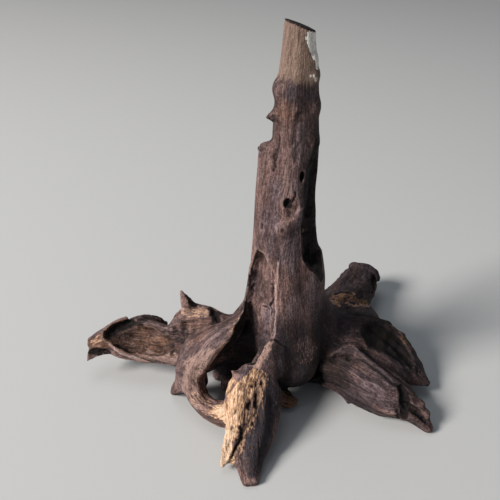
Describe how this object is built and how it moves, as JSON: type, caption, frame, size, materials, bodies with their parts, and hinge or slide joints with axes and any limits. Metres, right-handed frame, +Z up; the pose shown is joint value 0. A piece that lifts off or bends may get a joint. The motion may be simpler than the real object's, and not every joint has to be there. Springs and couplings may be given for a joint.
{
  "type": "driftwood",
  "caption": "Weathered driftwood stump with a tall hollowed trunk that stands on spreading, eroded roots.",
  "frame": {"origin": "middle of the footprint's bounding box, on the surface that the roots stand on", "axes": "+Z up along the trunk, +X to the right as the picture shows it, -Y towards the viewer"},
  "size_m": [0.3741, 0.3065, 0.3816],
  "materials": {
    "trunk_wood": "weathered, dry, finely fibrous",
    "root_wood": "weathered, dry, worn pale on its edges",
    "rotten_wood": "rotten, pitted and stringy, pale at the edges",
    "dark_root_wood": "weathered, dry, dark in the hollows"
  },
  "bodies": {
    "root": {"trunk": "trunk_wood", "left_root": "root_wood", "bridge_root": "root_wood", "front_root": "rotten_wood", "right_front_root": "dark_root_wood", "right_middle_root": "dark_root_wood", "back_root": "dark_root_wood"}
  },
  "joints": []
}
